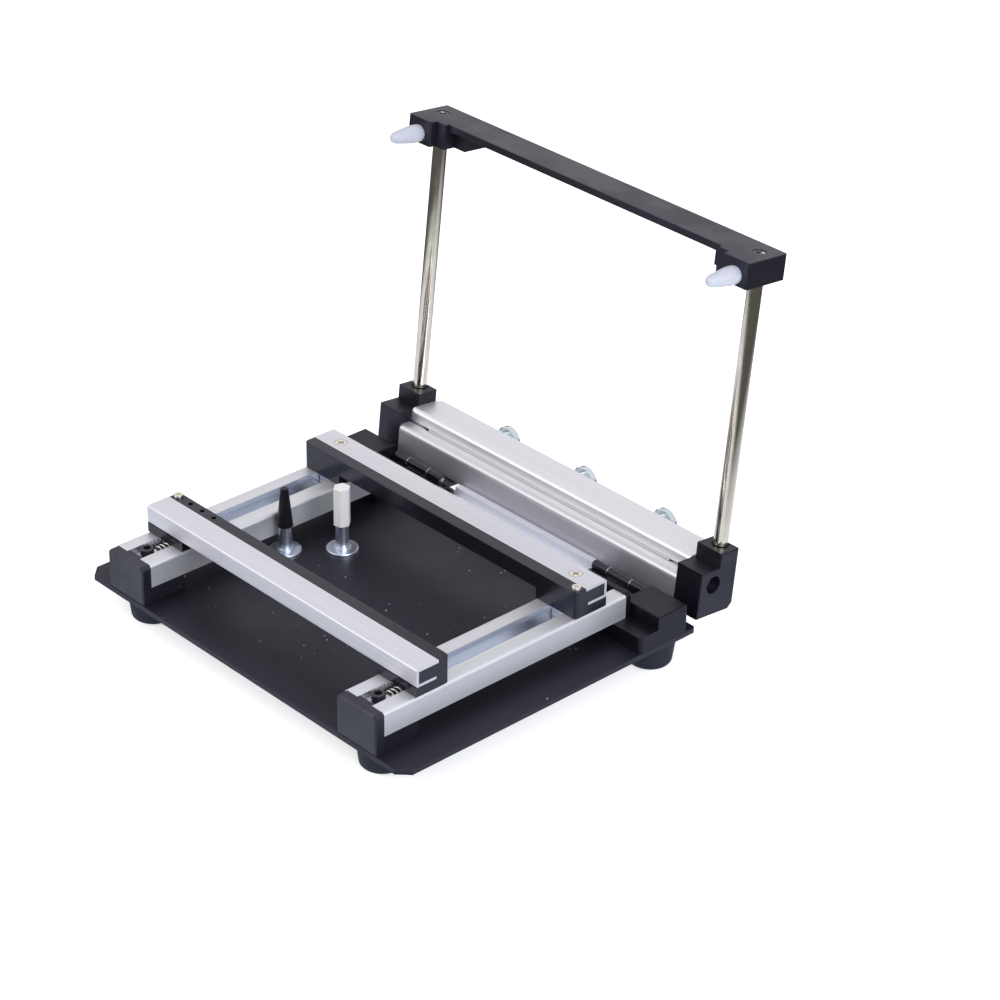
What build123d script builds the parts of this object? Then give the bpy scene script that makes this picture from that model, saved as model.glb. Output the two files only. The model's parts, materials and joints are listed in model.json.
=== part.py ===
from build123d import *
import math
import os

# A hand-worked stencil printer for small circuit boards, in millimetres.
# Two rails stand on a base plate and carry two clamp bars that grip the board.
# A gate with two rods and a crossbar swings on two hinges at the back and holds the stencil.
# X runs along the clamp bars, Y to the back and Z up. The model is made with Y = 0 at the
# front edge of the plate and Z = 0 under the feet, and is centred in X and Y at the end.

# Base plate and feet
plate_width = 100.0
plate_back_margin = 0.1
plate_thick = 1.15
plate_corner = 2.5
plate_rear_round = 1.0
foot_height = 6.1
foot_top_radius = 5.4
foot_bottom_radius = 4.6
foot_edge_round = 1.2
foot_front_y = 6.8
foot_side_margin = 0.1
foot_rear_setback = 3.4

# Rails: C sections with a T slot that is open at the top
rail_spacing = 72.7
rail_width = 11.5
rail_height = 5.3
rail_length = 64.8
rail_lift = 3.7
rail_slot = 4.3
rail_cavity = 7.8
rail_lip = 1.3
rail_floor = 1.1
rail_round = 0.7

# Front blocks: a wall before the rail and a foot under it
front_wall = 2.26
front_foot_back = 11.4
front_foot_inset = 0.6
front_tab = 0.7
front_tab_height = 1.6
front_corner = 0.7

# Rear blocks: a low slab that carries the rail, a taller box beside it and a thin wall
rear_block_lap = 3.5
rear_box_gap = 1.65
rear_box_depth = 8.1
rear_box_height = 6.6
rear_box_width = 10.2
rear_block_margin = 0.1
rear_wall = 1.3
rear_wall_rise = 0.3
block_round = 0.5

# Clamp bars: an aluminium channel on its side, filled by a moulded body
bar_front_y = 10.4
bar_rear_setback = 5.8
bar_rise = 6.2
channel_depth = 5.7
channel_height = 4.0
channel_wall = 0.6
channel_round = 0.4
strip_depth = 2.85
bar_middle_height = 3.7
bar_corner = 1.0
slide_gap = 0.1
key_front = 3.2
key_length = 4.8

# Screws: shank and head radius, head height, and the size of the drive in the head
screw_shank = 0.8
flat_head = 1.5
flat_head_height = 0.8
small_shank = 0.5
small_head = 1.0
small_head_height = 0.5
cross_width = 0.28
cross_depth = 0.4
socket_head = 1.5
socket_head_height = 1.6
socket_size = 1.5
clamp_screw_back = 3.05
strip_screw_margin = 1.4
strip_screw_head = 1.05
strip_hole_gap = 4.1
strip_hole_pitch = 3.85
strip_hole_count = 3
strip_hole_radius = 0.55
strip_hole_depth = 3.0

# Stops in the rail slots, and the springs that push the front bar
stop_front = 3.2
stop_length = 5.0
stop_drop = 1.2
spring_radius = 1.15
spring_wire = 0.36
spring_coils = 5.5
spring_drop = 1.75

# Hinges: two butt hinges that lie flat when the gate stands open
hinge_setback = 7.7
hinge_lift = 4.5
hinge_end_gap = 0.6
hinge_width = 15.0
hinge_middle = 6.4
hinge_slit = 0.1
barrel_radius = 1.1
hinge_pin_radius = 0.5
running_gap = 0.05
leaf_thick = 0.6
leaf_gap = 0.25
leaf_crank = 1.2
fixed_leaf_length = 5.8
moving_leaf_length = 6.4
leaf_screw_spacing = 8.6
fixed_leaf_screw = 3.9
moving_leaf_screw = 5.3

# Hinge rail: a low channel across the back of the plate, notched for the hinges
hinge_rail_reach = 6.0
hinge_rail_front_leg = 4.8
hinge_rail_tail = 3.3
hinge_rail_base = 1.0
hinge_rail_upright = 1.5
hinge_rail_height = 3.1
hinge_rail_notch_gap = 2.3
hinge_rail_screw_inset = 1.1
hinge_rail_screw_back = 0.4
seat_gap = 0.3

# Gate, in its own frame: V to the back and W up the lean, from the front lower corner
gate_lean = 5.7
axis_v = -3.93
axis_w = 2.8
gate_side_margin = 0.2
gate_block_width = 6.9
gate_block_depth = 10.45
gate_block_height = 10.5
tower_front = 5.25
tower_height = 13.7
tower_hollow = 0.35
tower_hollow_depth = 0.3
gate_block_chamfer = 1.2
side_hole_radius = 1.95
side_hole_depth = 3.2

# Profiles between the gate blocks: a box section in front and a channel behind it
profile_depth = 2.9
profile_top = 7.7
profile_wall = 0.75
profile_floor = 1.4
profile_round = 1.2
slit_width = 0.5
channel_back = 12.3
channel_bottom = 2.6
channel_top = 10.9
channel_web = 1.1
channel_flange = 1.0
lip_bottom = 8.0
rear_channel_round = 1.1
back_step = 1.4
back_step_drop = 0.3
tenon_length = 2.8
tenon_gap = 0.05

# Jaw inside the channel, and the three thumb screws that push it
stencil_gap = 0.1
jaw_travel = 0.5
jaw_thick = 3.9
jaw_top = 7.75
jaw_end_gap = 0.5
thumb_w = 7.1
thumb_spacing = 24.2
thumb_count = 3
thumb_disc_radius = 3.4
thumb_disc_thick = 1.5
thumb_collar_radius = 2.3
thumb_collar_length = 2.0
thumb_seat_gap = 0.2
thumb_edge = 0.3
thumb_tip_gap = 0.05

# Side screws: they go through the gate blocks and show in the ends of the slit
side_screw_v = 3.75
side_screw_w = 7.1
side_screw_radius = 0.8
side_screw_length = 8.8
side_screw_point = 0.8
side_screw_head = 1.7
side_screw_head_height = 1.0
side_screw_reach = 5.1

# Rods and crossbar
rod_v = 8.4
rod_radius = 1.55
rod_bottom = 4.0
rod_cover = 2.0
rod_chamfer = 0.2
cross_top = 78.0
cross_lug_height = 5.6
cross_bar_thick = 1.5
cross_front = 1.8
cross_back = 12.8
cross_bar_front = 4.3
lug_outer_overlap = 0.1
lug_middle_width = 2.8
lug_last_width = 3.3
lug_middle_front = 3.4
lug_last_front = 6.5
lug_round = 0.4
rod_screw_length = 6.0
rod_screw_recess = 0.1

# Bumpers on the crossbar
bumper_drop = 3.4
bumper_radius = 1.95
bumper_length = 7.85
bumper_tip = 1.0
bumper_stem = 0.9
bumper_stem_length = 2.8

# Loose board supports with a magnet in the foot
support_height = 15.6
support_disc_radius = 3.5
support_disc_thick = 1.05
support_collar_radius = 1.85
support_collar_height = 0.5
support_shaft_radius = 1.45
support_tip_bottom = 6.7
support_stud_radius = 0.7
support_stud_length = 3.5
magnet_radius = 2.6
magnet_thick = 0.6
hex_flats = 3.25
cone_bottom_radius = 1.75
cone_top_radius = 0.85
cone_support_x = -28.4
cone_support_y = 35.9
hex_support_x = -20.9
hex_support_y = 45.3

# Small breaks on edges that the hand meets, and how far a cut runs past the face that it opens
metal_break = 0.12
plastic_break = 0.3
overshoot = 1.0

# Levels that follow from the sizes above
plate_top = foot_height + plate_thick
rail_bottom = plate_top + rail_lift
rail_top = rail_bottom + rail_height
slot_floor = rail_bottom + rail_floor
lip_under = rail_top - rail_lip
bar_middle_bottom = bar_rise - bar_middle_height
hinge_z = plate_top + hinge_lift
leaf_bottom = hinge_z - barrel_radius

# Places from front to back
rail_front = front_wall
rail_end = rail_front + rail_length
bar_rear_y = rail_end - bar_rear_setback
rear_block_front = rail_end - rear_block_lap
rear_box_front = rail_end + rear_box_gap
rear_block_back = rear_box_front + rear_box_depth
hinge_y = rear_box_front + hinge_setback
hinge_rail_front = hinge_y - hinge_rail_reach
hinge_rail_back = hinge_y + hinge_rail_tail
plate_depth = hinge_rail_back + plate_back_margin
foot_rear_y = rear_box_front + foot_rear_setback

# Places from the middle to the sides
rail_x = rail_spacing / 2
bar_length = rail_spacing + rail_width
bar_half = bar_length / 2
bar_end_inner = rail_x - rail_width / 2
strip_screw_x = bar_half - strip_screw_margin
strip_hole_x = strip_screw_x - strip_hole_gap
foot_rear_x = plate_width / 2 - foot_side_margin - foot_top_radius
rear_block_outer = plate_width / 2 - rear_block_margin
rear_box_inner = rear_block_outer - rear_box_width
hinge_rail_half = rear_box_inner - seat_gap
hinge_centre_x = hinge_rail_half - hinge_end_gap - hinge_width / 2
hinge_rail_notch = hinge_centre_x - hinge_width / 2 - hinge_rail_notch_gap
gate_outer = plate_width / 2 - gate_side_margin
gate_inner = gate_outer - gate_block_width
rod_x = gate_inner + gate_block_width / 2
lug_outer_inner_x = gate_inner - lug_outer_overlap
lug_middle_inner_x = lug_outer_inner_x - lug_middle_width
lug_last_inner_x = lug_middle_inner_x - lug_last_width

# Places in the gate's own frame
profile_bottom = axis_w - barrel_radius - leaf_crank + leaf_thick
channel_front = profile_depth + slit_width
rod_top = cross_top - rod_cover
bumper_w = cross_top - bumper_drop
jaw_front = profile_depth + stencil_gap + jaw_travel
jaw_back = jaw_front + jaw_thick
thumb_collar_front = channel_back + jaw_travel + thumb_seat_gap
thumb_disc_front = thumb_collar_front + thumb_collar_length
thumb_disc_back = thumb_disc_front + thumb_disc_thick
side_tip = gate_inner - side_screw_reach
sides = {"left": -1, "right": 1}

nodes = {}


def block(x0, x1, y0, y1, z0, z1):
    """A box between two corners, given in any order."""
    size = (abs(x1 - x0), abs(y1 - y0), abs(z1 - z0))
    return Pos((x0 + x1) / 2, (y0 + y1) / 2, (z0 + z1) / 2) * Box(*size)


def post(x, y, z0, z1, radius):
    """A cylinder that stands along Z."""
    return Pos(x, y, (z0 + z1) / 2) * Cylinder(radius, z1 - z0)


def rod_along_y(x, z, y0, y1, radius):
    """A cylinder that lies along Y."""
    return Pos(x, (y0 + y1) / 2, z) * Rot(90, 0, 0) * Cylinder(radius, y1 - y0)


def rod_along_x(y, z, x0, x1, radius):
    """A cylinder that lies along X."""
    return Pos((x0 + x1) / 2, y, z) * Rot(0, 90, 0) * Cylinder(radius, abs(x1 - x0))


def section_along_x(points, x0, x1):
    """A closed outline in Y and Z, drawn out along X."""
    face = Plane.YZ.offset(x0) * make_face(Polyline(*points, close=True))
    return extrude(face, x1 - x0)


def flat_screw(shank, head, head_height, length):
    """A countersunk cross-head screw: its head's top lies at Z = 0 and it points down."""
    cone = Pos(0, 0, -head_height / 2) * Cone(shank, head, head_height)
    body = cone + post(0, 0, -length, -head_height, shank)
    for turn in (0, 90):
        body -= Rot(0, 0, turn) * Box(head * 1.3, cross_width, cross_depth * 2)
    return body


def socket_screw(shank, head, head_height, socket, length):
    """A cap screw with a hex socket: its head's top lies at Z = 0 and it points down."""
    body = post(0, 0, -head_height, 0, head) + post(0, 0, -length, -head_height, shank)
    body = chamfer(body.edges().group_by(Axis.Z)[-1], metal_break)
    hexagon = RegularPolygon(socket / 2, 6, major_radius=False)
    return body - extrude(Pos(0, 0, -head_height * 0.6) * hexagon, head_height)


def screw_hole(shank, head, head_height, length, top):
    """The room that a flat screw of the same sizes takes, open above."""
    hole = Pos(0, 0, -head_height / 2) * Cone(shank, head, head_height)
    return hole + post(0, 0, -length, 0, shank) + post(0, 0, 0, top, head)


def make_base_plate():
    plate = block(-plate_width / 2, plate_width / 2, 0, plate_depth, foot_height, plate_top)
    plate = chamfer(plate.edges().filter_by(Axis.Z).group_by(Axis.Y)[0], plate_corner)
    plate = fillet(plate.edges().filter_by(Axis.Z).group_by(Axis.Y)[-1], plate_rear_round)
    plate = chamfer(plate.faces().sort_by(Axis.Z)[-1].edges(), metal_break)
    for x, y in foot_places():
        plate -= post(x, y, foot_height, plate_top, screw_shank)
    for side in sides.values():
        hole = screw_hole(screw_shank, flat_head, flat_head_height, plate_thick + overshoot, overshoot)
        plate -= Pos(side * rail_x, rail_screw_y(), foot_height) * Rot(180, 0, 0) * hole
        x, y = hinge_rail_screw_place(side)
        plate -= post(x, y, foot_height, plate_top, screw_shank)
    return plate


def foot_places():
    front = [(side * rail_x, foot_front_y) for side in sides.values()]
    return front + [(side * foot_rear_x, foot_rear_y) for side in sides.values()]


def rail_screw_y():
    return (rear_block_front + rail_end) / 2


def make_foot(x, y):
    cone = Pos(0, 0, foot_height / 2) * Cone(foot_bottom_radius, foot_top_radius, foot_height)
    cone = fillet(cone.edges().sort_by(Axis.Z)[0], foot_edge_round)
    cone -= post(0, 0, 0, foot_height, screw_shank)
    cone -= post(0, 0, 0, foot_edge_round + flat_head_height, flat_head)
    return Pos(x, y, 0) * cone


def foot_screw(x, y):
    length = rail_bottom + rail_floor * 0.8 - foot_edge_round
    screw = flat_screw(screw_shank, flat_head, flat_head_height, length)
    return Pos(x, y, foot_edge_round) * Rot(180, 0, 0) * screw


def make_rail(side):
    x = side * rail_x
    half = rail_width / 2
    rail = block(x - half, x + half, rail_front, rail_end, rail_bottom, rail_top)
    long_edges = rail.edges().filter_by(Axis.Y).group_by(Axis.Z)[-1]
    rail = fillet(long_edges, rail_round)
    rail -= block(x - rail_slot / 2, x + rail_slot / 2, rail_front, rail_end, slot_floor, rail_top)
    cavity = rail_cavity / 2
    rail -= block(x - cavity, x + cavity, rail_front, rail_end, slot_floor, lip_under)
    rail -= post(x, foot_front_y, rail_bottom, slot_floor, screw_shank)
    rail -= post(x, rail_screw_y(), rail_bottom, slot_floor, screw_shank)
    return rail


def rail_screw(side):
    length = rail_bottom + rail_floor * 0.8 - foot_height
    screw = flat_screw(screw_shank, flat_head, flat_head_height, length)
    return Pos(side * rail_x, rail_screw_y(), foot_height) * Rot(180, 0, 0) * screw


def make_front_block(side):
    x = side * rail_x
    half = rail_width / 2
    wall = block(x - half, x + half, 0, front_wall, plate_top, rail_top)
    wall = chamfer(wall.edges().filter_by(Axis.Y).group_by(Axis.Z)[-1], front_corner)
    wall = chamfer(wall.faces().sort_by(Axis.Y)[0].edges(), plastic_break)
    inset = half - front_foot_inset
    foot = block(x - inset, x + inset, front_wall, front_foot_back, plate_top, rail_bottom)
    tab_half = rail_slot / 2 - slide_gap
    tab_back = front_wall + front_tab
    tab = block(x - tab_half, x + tab_half, front_wall, tab_back, rail_top - front_tab_height, rail_top)
    return wall + foot + tab - post(x, foot_front_y, plate_top, rail_bottom, screw_shank)


def make_rear_block(side):
    outer = side * rear_block_outer
    inner = side * (bar_end_inner + front_foot_inset)
    wall_back = rail_end + rear_wall
    slab = block(inner, outer, rear_block_front, wall_back, plate_top, rail_bottom)
    side_slab = block(side * rear_box_inner, outer, rear_block_front, rear_block_back, plate_top, rail_bottom)
    slab = slab + side_slab
    corner = slab.edges().filter_by(Axis.Z).sort_by(Axis.Y)[0:2].sort_by(Axis.X)[-1 if side > 0 else 0]
    slab = fillet(corner, block_round * 2)
    box_top = plate_top + rear_box_height
    box = block(side * rear_box_inner, outer, rear_box_front, rear_block_back, plate_top, box_top)
    box = fillet(box.edges().group_by(Axis.Z)[-1], plastic_break)
    half = rail_width / 2
    wall_top = rail_top + rear_wall_rise
    x = side * rail_x
    wall = block(x - half, x + half, rail_end, wall_back, rail_bottom, wall_top)
    wall = chamfer(wall.edges().filter_by(Axis.Y).group_by(Axis.Z)[-1], front_corner)
    solid = slab + box + wall
    solid -= post(x, rail_screw_y(), plate_top, rail_bottom, screw_shank)
    return solid - post(side * foot_rear_x, foot_rear_y, plate_top, rail_bottom + rail_floor, screw_shank)


def make_channel(screw_holes):
    """The aluminium of a clamp bar: its web is at Y = 0 and Z = 0 is the top of the rails."""
    low = bar_rise - channel_height
    bottom_depth = channel_depth - channel_wall
    outline = [
        (0, low),
        (bottom_depth, low),
        (bottom_depth, low + channel_wall),
        (channel_wall, low + channel_wall),
        (channel_wall, bar_rise - channel_wall),
        (channel_depth, bar_rise - channel_wall),
        (channel_depth, bar_rise),
        (0, bar_rise),
    ]
    channel = section_along_x(outline, -bar_half, bar_half)
    corners = channel.edges().filter_by(Axis.X).group_by(Axis.Y)[0]
    channel = fillet(corners, channel_round)
    if screw_holes:
        for side in sides.values():
            hole = screw_hole(screw_shank, flat_head, flat_head_height, bar_rise, 1)
            channel -= Pos(side * rail_x, clamp_screw_back, bar_rise) * hole
    return channel


def make_clamp_body(front):
    """The moulded body of a clamp bar, with thick ends over the rails."""
    depth = channel_depth + strip_depth
    body = block(-bar_half, bar_half, 0, depth, slide_gap, bar_rise)
    body -= block(-bar_end_inner, bar_end_inner, 0, depth, slide_gap, bar_middle_bottom)
    outer_corners = body.edges().filter_by(Axis.Z).filter_by(lambda edge: edge.center().Y > depth / 2)
    outer_corners = outer_corners.filter_by(lambda edge: abs(edge.center().X) > bar_end_inner + overshoot)
    body = fillet(outer_corners, bar_corner)
    strip_edge = body.edges().filter_by(Axis.X).group_by(Axis.Z)[-1].sort_by(Axis.Y)[-1]
    body = chamfer(strip_edge, metal_break)
    body -= channel_room()
    if front:
        for side in sides.values():
            body += bar_key(side)
    else:
        for side in sides.values():
            hole = screw_hole(screw_shank, flat_head, flat_head_height, bar_rise, 1)
            body -= Pos(side * rail_x, clamp_screw_back, bar_rise) * hole
    strip_y = channel_depth + strip_depth / 2
    body -= post(-strip_screw_x, strip_y, bar_rise - strip_hole_depth, bar_rise, small_shank)
    if front:
        for number in range(strip_hole_count):
            x = -strip_hole_x + number * strip_hole_pitch
            body -= post(x, strip_y, bar_rise - strip_hole_depth, bar_rise, strip_hole_radius)
    return body


def channel_room():
    """The space that the aluminium takes in the body, with its open side left solid."""
    low = bar_rise - channel_height
    bottom_depth = channel_depth - channel_wall
    length = bar_length + overshoot
    web = block(-length / 2, length / 2, 0, channel_wall, low, bar_rise)
    top = block(-length / 2, length / 2, 0, channel_depth, bar_rise - channel_wall, bar_rise)
    bottom = block(-length / 2, length / 2, 0, bottom_depth, low, low + channel_wall)
    below = block(-bar_end_inner, bar_end_inner, 0, bottom_depth, 0, low + channel_wall)
    return web + top + bottom + below


def bar_key(side):
    """The T-shaped key that guides the front bar in a rail slot."""
    x = side * rail_x
    neck = rail_slot / 2 - slide_gap
    head = rail_cavity / 2 - 2 * slide_gap
    back = key_front + key_length
    lip = lip_under - slide_gap - rail_top
    floor = slot_floor + slide_gap - rail_top
    stem = block(x - neck, x + neck, key_front, back, lip - slide_gap, slide_gap)
    return stem + block(x - head, x + head, key_front, back, floor, lip)


def clamp_nut(side):
    """A T nut in the rail slot that the rear bar's screw pulls against the lips."""
    x = side * rail_x
    head = rail_cavity / 2 - 2 * slide_gap
    floor = slot_floor + slide_gap - rail_top
    lip = lip_under - rail_top
    neck = rail_slot / 2 - slide_gap
    reach = clamp_screw_back - 2 * slide_gap
    nut = block(x - head, x + head, clamp_screw_back - reach, clamp_screw_back + reach, floor, lip)
    nut += block(x - neck, x + neck, clamp_screw_back - reach, clamp_screw_back + reach, lip, 0)
    return nut - post(x, clamp_screw_back, floor, 0, screw_shank)


def clamp_screw(side):
    length = bar_rise + rail_top - slot_floor - 4 * slide_gap
    screw = flat_screw(screw_shank, flat_head, flat_head_height, length)
    return Pos(side * rail_x, clamp_screw_back, bar_rise) * screw


def strip_screw():
    """The pan-head screw in the end of a clamp bar's strip."""
    head_height = small_head_height + metal_break
    y = channel_depth + strip_depth / 2
    screw = post(0, 0, 0, head_height, strip_screw_head)
    screw = fillet(screw.edges().group_by(Axis.Z)[-1], metal_break * 2)
    for turn in (0, 90):
        slot = Box(strip_screw_head * 1.3, cross_width, cross_depth)
        screw -= Pos(0, 0, head_height) * Rot(0, 0, turn) * slot
    screw += post(0, 0, -strip_hole_depth, 0, small_shank)
    return Pos(-strip_screw_x, y, bar_rise) * screw


def at_front(shape):
    return Pos(0, bar_front_y, rail_top) * shape


def at_rear(shape):
    return Pos(0, bar_rear_y, rail_top) * Rot(0, 0, 180) * shape


def make_stop(side):
    """A stop block: its neck fills the slot and its foot lies under the lips."""
    x = side * rail_x
    neck = rail_slot / 2 - slide_gap
    head = rail_cavity / 2 - 2 * slide_gap
    back = stop_front + stop_length
    top = rail_top - stop_drop
    stop = block(x - neck, x + neck, stop_front, back, slot_floor + slide_gap, top)
    stop += block(x - head, x + head, stop_front, back, slot_floor + slide_gap, lip_under - slide_gap)
    return stop - post(x, stop_screw_y(), slot_floor, top, screw_shank)


def stop_screw_y():
    return stop_front + stop_length / 2


def stop_screw(side):
    top = rail_top - stop_drop + socket_head_height
    length = top - slot_floor - slide_gap
    screw = socket_screw(screw_shank, socket_head, socket_head_height, socket_size, length)
    return Pos(side * rail_x, stop_screw_y(), top) * screw


def make_spring(side):
    """A compression spring between a stop and the front bar's key."""
    start = stop_front + stop_length + spring_wire / 2
    end = bar_front_y + key_front - spring_wire / 2
    pitch = (end - start) / spring_coils
    path = Helix(pitch, end - start, spring_radius)
    wire = Plane(path @ 0, z_dir=path % 0) * Circle(spring_wire / 2)
    coil = sweep(wire, path=path, is_frenet=True)
    return Pos(side * rail_x, start, rail_top - spring_drop) * Rot(-90, 0, 0) * coil


def knuckle_spans():
    """Where each knuckle of a hinge starts and ends along X, from its centre."""
    half = hinge_width / 2
    middle = hinge_middle / 2
    outer = [(-half, -middle - hinge_slit), (middle + hinge_slit, half)]
    return {"fixed": outer, "moving": [(-middle, middle)]}


def hinge_leaf(kind, length, screw_reach, hole_radius, crank):
    """A leaf with its knuckles: the pin's axis is X. The leaf reaches along +Y, and its crank drops it."""
    half = hinge_width / 2
    start_y = barrel_radius + leaf_gap
    top = leaf_thick - barrel_radius
    low = -barrel_radius - crank
    leaf = block(-half, half, start_y, length, low, low + leaf_thick)
    leaf = fillet(leaf.edges().filter_by(Axis.Z).group_by(Axis.Y)[-1], plastic_break * 2)
    for start, end in knuckle_spans()[kind]:
        leaf += rod_along_x(0, 0, start, end, barrel_radius)
        leaf += block(start, end, 0, start_y + leaf_thick, -barrel_radius, top)
        leaf += block(start, end, start_y, start_y + leaf_thick, low, top)
    leaf -= rod_along_x(0, 0, -half, half, hole_radius)
    for x in (-leaf_screw_spacing / 2, leaf_screw_spacing / 2):
        leaf -= post(x, screw_reach, low, low + leaf_thick, small_shank)
    return leaf


def fixed_leaf(side):
    leaf = hinge_leaf("fixed", fixed_leaf_length, fixed_leaf_screw, hinge_pin_radius, 0)
    return Pos(side * hinge_centre_x, hinge_y, hinge_z) * Rot(0, 0, 180) * leaf


def leaf_screw(length):
    """A low pan-head screw for a hinge leaf, with the underside of its head at Z = 0."""
    return post(0, 0, 0, small_head_height, small_head) + post(0, 0, -length, 0, small_shank)


def fixed_leaf_screws(side):
    y = hinge_y - fixed_leaf_screw
    z = leaf_bottom + leaf_thick
    screws = []
    for offset in (-leaf_screw_spacing / 2, leaf_screw_spacing / 2):
        screws.append(Pos(side * hinge_centre_x + offset, y, z) * leaf_screw(leaf_thick + hinge_rail_base))
    return screws


def hinge_pin(side):
    half = hinge_width / 2
    x = side * hinge_centre_x
    return rod_along_x(hinge_y, hinge_z, x - half, x + half, hinge_pin_radius)


def make_hinge_rail():
    half = hinge_rail_half
    leg_back = hinge_rail_front + hinge_rail_front_leg
    outline = [
        (hinge_rail_front, plate_top),
        (hinge_rail_back, plate_top),
        (hinge_rail_back, plate_top + hinge_rail_height),
        (hinge_rail_back - hinge_rail_upright, plate_top + hinge_rail_height),
        (hinge_rail_back - hinge_rail_upright, plate_top + hinge_rail_base),
        (leg_back, plate_top + hinge_rail_base),
        (leg_back, leaf_bottom),
        (hinge_rail_front, leaf_bottom),
    ]
    rail = section_along_x(outline, -half, half)
    for side in sides.values():
        start = side * hinge_rail_notch
        base_top = plate_top + hinge_rail_base
        rail -= block(start, side * half, leg_back, hinge_rail_back, base_top, base_top + hinge_rail_height)
        x, y = hinge_rail_screw_place(side)
        rail -= post(x, y, plate_top, plate_top + hinge_rail_base, screw_shank)
        for offset in (-leaf_screw_spacing / 2, leaf_screw_spacing / 2):
            x = side * hinge_centre_x + offset
            y = hinge_y - fixed_leaf_screw
            rail -= post(x, y, leaf_bottom - hinge_rail_base, leaf_bottom, small_shank)
    return rail


def hinge_rail_screw_place(side):
    return side * (hinge_rail_notch + hinge_rail_screw_inset), hinge_y + hinge_rail_screw_back


def hinge_rail_screw(side):
    """A cap screw that holds the hinge rail to the plate."""
    top = plate_top + hinge_rail_base + small_head_height * 2
    length = top - foot_height
    screw = socket_screw(screw_shank, socket_head, small_head_height * 2, socket_size, length)
    return Pos(*hinge_rail_screw_place(side), top) * screw


def on_gate(shape):
    """Take a shape from the gate's own frame to where the gate stands open."""
    return Pos(0, hinge_y, hinge_z) * Rot(-gate_lean, 0, 0) * Pos(0, -axis_v, -axis_w) * shape


def make_gate_block(side):
    outer = side * gate_outer
    inner = side * gate_inner
    low = block(inner, outer, 0, gate_block_depth, 0, gate_block_height)
    tower = block(inner, outer, tower_front, gate_block_depth, gate_block_height, tower_height)
    body = low + tower
    back_edge = body.edges().filter_by(Axis.X).sort_by(lambda edge: edge.center().Y - edge.center().Z)[-1]
    body = chamfer(back_edge, gate_block_chamfer)
    outer_face = body.faces().sort_by(Axis.X)[-1 if side > 0 else 0]
    body = fillet(outer_face.edges(), plastic_break)
    body -= post(side * rod_x, rod_v, rod_bottom, tower_height, rod_radius)
    hollow_floor = tower_height - tower_hollow_depth
    body -= post(side * rod_x, rod_v, hollow_floor, tower_height, rod_radius + tower_hollow)
    body -= rod_along_x(side_screw_v, side_screw_w, inner, outer, side_screw_radius + running_gap)
    pocket = outer - side * side_hole_depth
    body -= rod_along_x(side_screw_v, side_screw_w, pocket, outer, side_hole_radius)
    tip = inner - side * tenon_length
    body += block(
        inner,
        tip,
        jaw_back + seat_gap,
        channel_back - channel_web - tenon_gap,
        channel_bottom + channel_flange + tenon_gap,
        channel_top - channel_flange - tenon_gap,
    )
    return body + block(
        inner,
        tip,
        profile_wall + tenon_gap,
        profile_depth - profile_wall - tenon_gap,
        profile_bottom + profile_floor + tenon_gap,
        profile_top - profile_wall - tenon_gap,
    )


def make_front_profile():
    profile = block(-gate_inner, gate_inner, 0, profile_depth, profile_bottom, profile_top)
    front_top = profile.edges().filter_by(Axis.X).group_by(Axis.Z)[-1].sort_by(Axis.Y)[0]
    profile = fillet(front_top, profile_round)
    front_low = profile.edges().filter_by(Axis.X).group_by(Axis.Z)[0].sort_by(Axis.Y)[0]
    profile = fillet(front_low, plastic_break)
    profile -= block(
        -gate_inner,
        gate_inner,
        profile_wall,
        profile_depth - profile_wall,
        profile_bottom + profile_floor,
        profile_top - profile_wall,
    )
    for x in moving_screw_places():
        profile -= post(x, moving_screw_v(), profile_bottom, profile_bottom + profile_floor, small_shank)
    return profile


def moving_screw_v():
    return axis_v + moving_leaf_screw


def moving_screw_places():
    places = []
    for side in sides.values():
        for offset in (-leaf_screw_spacing / 2, leaf_screw_spacing / 2):
            places.append(side * hinge_centre_x + offset)
    return places


def moving_leaf(side):
    bore = hinge_pin_radius + running_gap
    leaf = hinge_leaf("moving", moving_leaf_length, moving_leaf_screw, bore, leaf_crank)
    return Pos(side * hinge_centre_x, axis_v, axis_w) * leaf


def moving_leaf_screws(side):
    screws = []
    under = axis_w - barrel_radius - leaf_crank
    for offset in (-leaf_screw_spacing / 2, leaf_screw_spacing / 2):
        place = Pos(side * hinge_centre_x + offset, moving_screw_v(), under)
        screws.append(place * Rot(180, 0, 0) * leaf_screw(leaf_thick + profile_floor * 0.9))
    return screws


def make_rear_channel():
    back_inner = channel_back - channel_web
    outline = [
        (channel_front, channel_bottom),
        (channel_back, channel_bottom),
        (channel_back, channel_top - back_step_drop),
        (channel_back - back_step, channel_top - back_step_drop),
        (channel_back - back_step, channel_top),
        (channel_front, channel_top),
        (channel_front, lip_bottom),
        (channel_front + channel_flange, lip_bottom),
        (channel_front + channel_flange, channel_top - channel_flange),
        (back_inner, channel_top - channel_flange),
        (back_inner, channel_bottom + channel_flange),
        (channel_front, channel_bottom + channel_flange),
    ]
    channel = section_along_x(outline, -gate_inner, gate_inner)
    tops = channel.edges().filter_by(Axis.X).group_by(Axis.Z)[-1]
    channel = fillet(tops.sort_by(Axis.Y)[0], rear_channel_round)
    for x in thumb_places():
        channel -= rod_along_y(x, thumb_w, back_inner, channel_back, screw_shank + running_gap)
    return channel


def thumb_places():
    middle = (thumb_count - 1) / 2
    return [(number - middle) * thumb_spacing for number in range(thumb_count)]


def make_jaw():
    bottom = channel_bottom + channel_flange + slide_gap
    half = side_tip - jaw_end_gap
    jaw = block(-half, half, jaw_front, jaw_back, bottom, jaw_top)
    return chamfer(jaw.edges().filter_by(Axis.X), plastic_break)


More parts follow.
